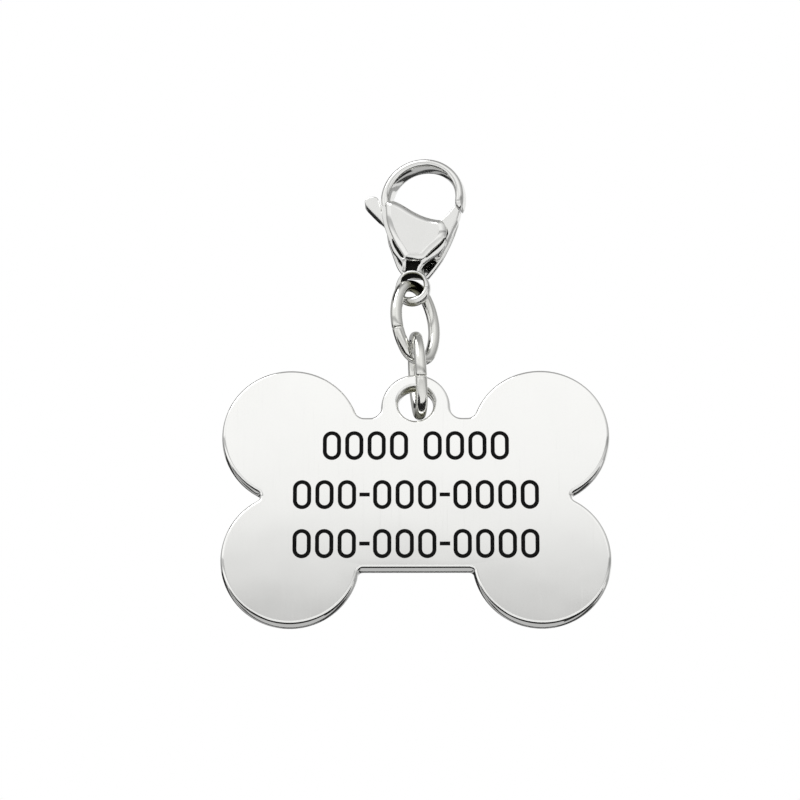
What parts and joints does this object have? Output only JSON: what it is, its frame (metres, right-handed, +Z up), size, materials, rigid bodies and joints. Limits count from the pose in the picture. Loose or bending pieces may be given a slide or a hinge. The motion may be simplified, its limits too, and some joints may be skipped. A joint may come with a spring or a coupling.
{
  "type": "pet id tag",
  "caption": "Four-lobed polished steel pet id tag with rows of black zeros, hung by oval wire links from a small sprung lobster clasp.",
  "frame": {"origin": "middle of the collar ring's wire where it bears inside the hook, straight above the tag's line of symmetry", "axes": "+Z up along the hanging part, -Y out of the numbered face, +X to the right of that face"},
  "size_m": [0.04, 0.0064, 0.0513],
  "materials": {
    "tag_steel": "mirror polished stainless steel",
    "number_black": "matt black filling",
    "link_wire": "bright drawn wire",
    "clasp_steel": "bright tumbled casting",
    "spring_steel": "plain spring strip"
  },
  "bodies": {
    "clasp": {"clasp_body": "clasp_steel", "pivot_pin": "clasp_steel", "gate_spring": "spring_steel"},
    "gate": {"gate_lever": "clasp_steel"},
    "upper_link": {"upper_link": "link_wire"},
    "lower_link": {"lower_link": "link_wire"},
    "tag": {"tag_plate": "tag_steel", "number_infill": "number_black"}
  },
  "joints": [
    {"name": "gate_hinge", "type": "hinge", "parent": "clasp", "child": "gate", "pos_m": [-0.00054, 0.00032, -0.0067], "axis": [-0.2079, -0.9781, 0], "range_deg": [0, 28], "stiffness_Nm_per_rad": 0.01, "deforming": ["gate_spring"]},
    {"name": "upper_link_swing", "type": "hinge", "parent": "clasp", "child": "upper_link", "pos_m": [-0.00024, 0.00026, -0.01205], "axis": [-0.2079, -0.9781, 0], "range_deg": [-45, 45]},
    {"name": "lower_link_swing", "type": "hinge", "parent": "upper_link", "child": "lower_link", "pos_m": [0.00005, 0, -0.01969], "axis": [0.9901, 0.1219, 0.0692], "range_deg": [-45, 45]},
    {"name": "tag_swing", "type": "hinge", "parent": "lower_link", "child": "tag", "pos_m": [0, 0, -0.02527], "axis": [0, -1, 0], "range_deg": [-45, 45]}
  ]
}
